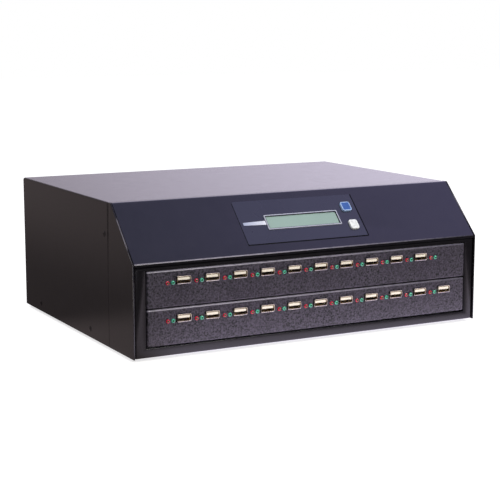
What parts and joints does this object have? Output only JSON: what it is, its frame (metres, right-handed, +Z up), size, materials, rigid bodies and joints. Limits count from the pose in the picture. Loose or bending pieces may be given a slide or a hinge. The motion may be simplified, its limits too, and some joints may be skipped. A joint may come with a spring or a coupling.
{
  "type": "usb stick duplicator",
  "caption": "Desktop duplicator in a folded steel case: two rows of USB sockets with lamps under a sloping control panel with a display and two keys.",
  "frame": {"origin": "on the ground, under the middle of the bounding box", "axes": "+X to the right seen from the front, +Y from the front to the rear, +Z up"},
  "size_m": [0.3594, 0.2808, 0.1317],
  "materials": {
    "black_powder_coat": "black fine-textured powder coat on steel",
    "hammered_paint": "dark grey hammered paint, semi-gloss",
    "overlay_film": "dark satin plastic film",
    "white_plastic": "white moulded plastic",
    "blue_plastic": "blue moulded key with a light rim",
    "display_green": "grey-green display under a clear window",
    "socket_steel": "nickel-plated pressed steel",
    "circuit_board": "green solder mask",
    "black_plastic": "black moulded plastic",
    "galvanised_steel": "zinc-plated sheet steel",
    "supply_case": "plain sheet metal case",
    "bright_wire": "nickel-plated wire",
    "rubber": "black rubber",
    "grey_cable": "grey ribbon cable",
    "black_cable": "black insulated wire",
    "red_lens": "red diffused lens",
    "green_lens": "green diffused lens"
  },
  "bodies": {
    "case": {"top_cover": "black_powder_coat", "left_cheek": "black_powder_coat", "right_cheek": "black_powder_coat", "front_frame": "black_powder_coat", "control_panel": "black_powder_coat", "rear_panel": "black_powder_coat", "cover_screw_left_1": "black_powder_coat", "cover_screw_left_2": "black_powder_coat", "cover_screw_left_3": "black_powder_coat", "cover_screw_right_1": "black_powder_coat", "cover_screw_right_2": "black_powder_coat", "cover_screw_right_3": "black_powder_coat", "upper_port_panel": "hammered_paint", "lower_port_panel": "hammered_paint", "panel_overlay": "overlay_film", "display_frame": "white_plastic", "display_glass": "display_green", "upper_socket_01": "socket_steel", "upper_socket_02": "socket_steel", "upper_socket_03": "socket_steel", "upper_socket_04": "socket_steel", "upper_socket_05": "socket_steel", "upper_socket_06": "socket_steel", "upper_socket_07": "socket_steel", "upper_socket_08": "socket_steel", "upper_socket_09": "socket_steel", "upper_socket_10": "socket_steel", "lower_socket_01": "socket_steel", "lower_socket_02": "socket_steel", "lower_socket_03": "socket_steel", "lower_socket_04": "socket_steel", "lower_socket_05": "socket_steel", "lower_socket_06": "socket_steel", "lower_socket_07": "socket_steel", "lower_socket_08": "socket_steel", "lower_socket_09": "socket_steel", "lower_socket_10": "socket_steel", "lower_socket_11": "socket_steel", "panel_board": "circuit_board", "upper_port_board": "circuit_board", "lower_port_board": "circuit_board", "main_board": "circuit_board", "power_inlet": "black_plastic", "power_switch": "black_plastic", "fan_frame": "black_plastic", "base_pan": "galvanised_steel", "power_supply": "supply_case", "fan_guard": "bright_wire", "foot_front_left": "rubber", "foot_front_right": "rubber", "foot_rear_left": "rubber", "foot_rear_right": "rubber", "port_ribbon": "grey_cable", "display_ribbon": "grey_cable", "supply_harness": "black_cable", "mains_harness": "black_cable"},
    "upper_key": {"upper_key": "blue_plastic"},
    "lower_key": {"lower_key": "white_plastic"},
    "rocker": {"power_rocker": "black_plastic"},
    "rotor": {"fan_rotor": "black_plastic"}
  },
  "joints": [
    {"name": "upper_key_slide", "type": "slide", "parent": "case", "child": "upper_key", "axis": [0, 0.7079, -0.7064], "range_m": [0, 0.0008], "stiffness_N_per_m": 1000, "springref_m": -0.0004},
    {"name": "lower_key_slide", "type": "slide", "parent": "case", "child": "lower_key", "axis": [0, 0.7079, -0.7064], "range_m": [0, 0.0008], "stiffness_N_per_m": 1000, "springref_m": -0.0004},
    {"name": "rocker_hinge", "type": "hinge", "parent": "case", "child": "rocker", "pos_m": [0.118, 0.13513, 0.076], "axis": [-1, 0, 0], "range_deg": [0, 18]},
    {"name": "fan_spin", "type": "hinge", "parent": "case", "child": "rotor", "pos_m": [-0.09, 0.12136, 0.0735], "axis": [0, 1, 0], "continuous": true}
  ]
}
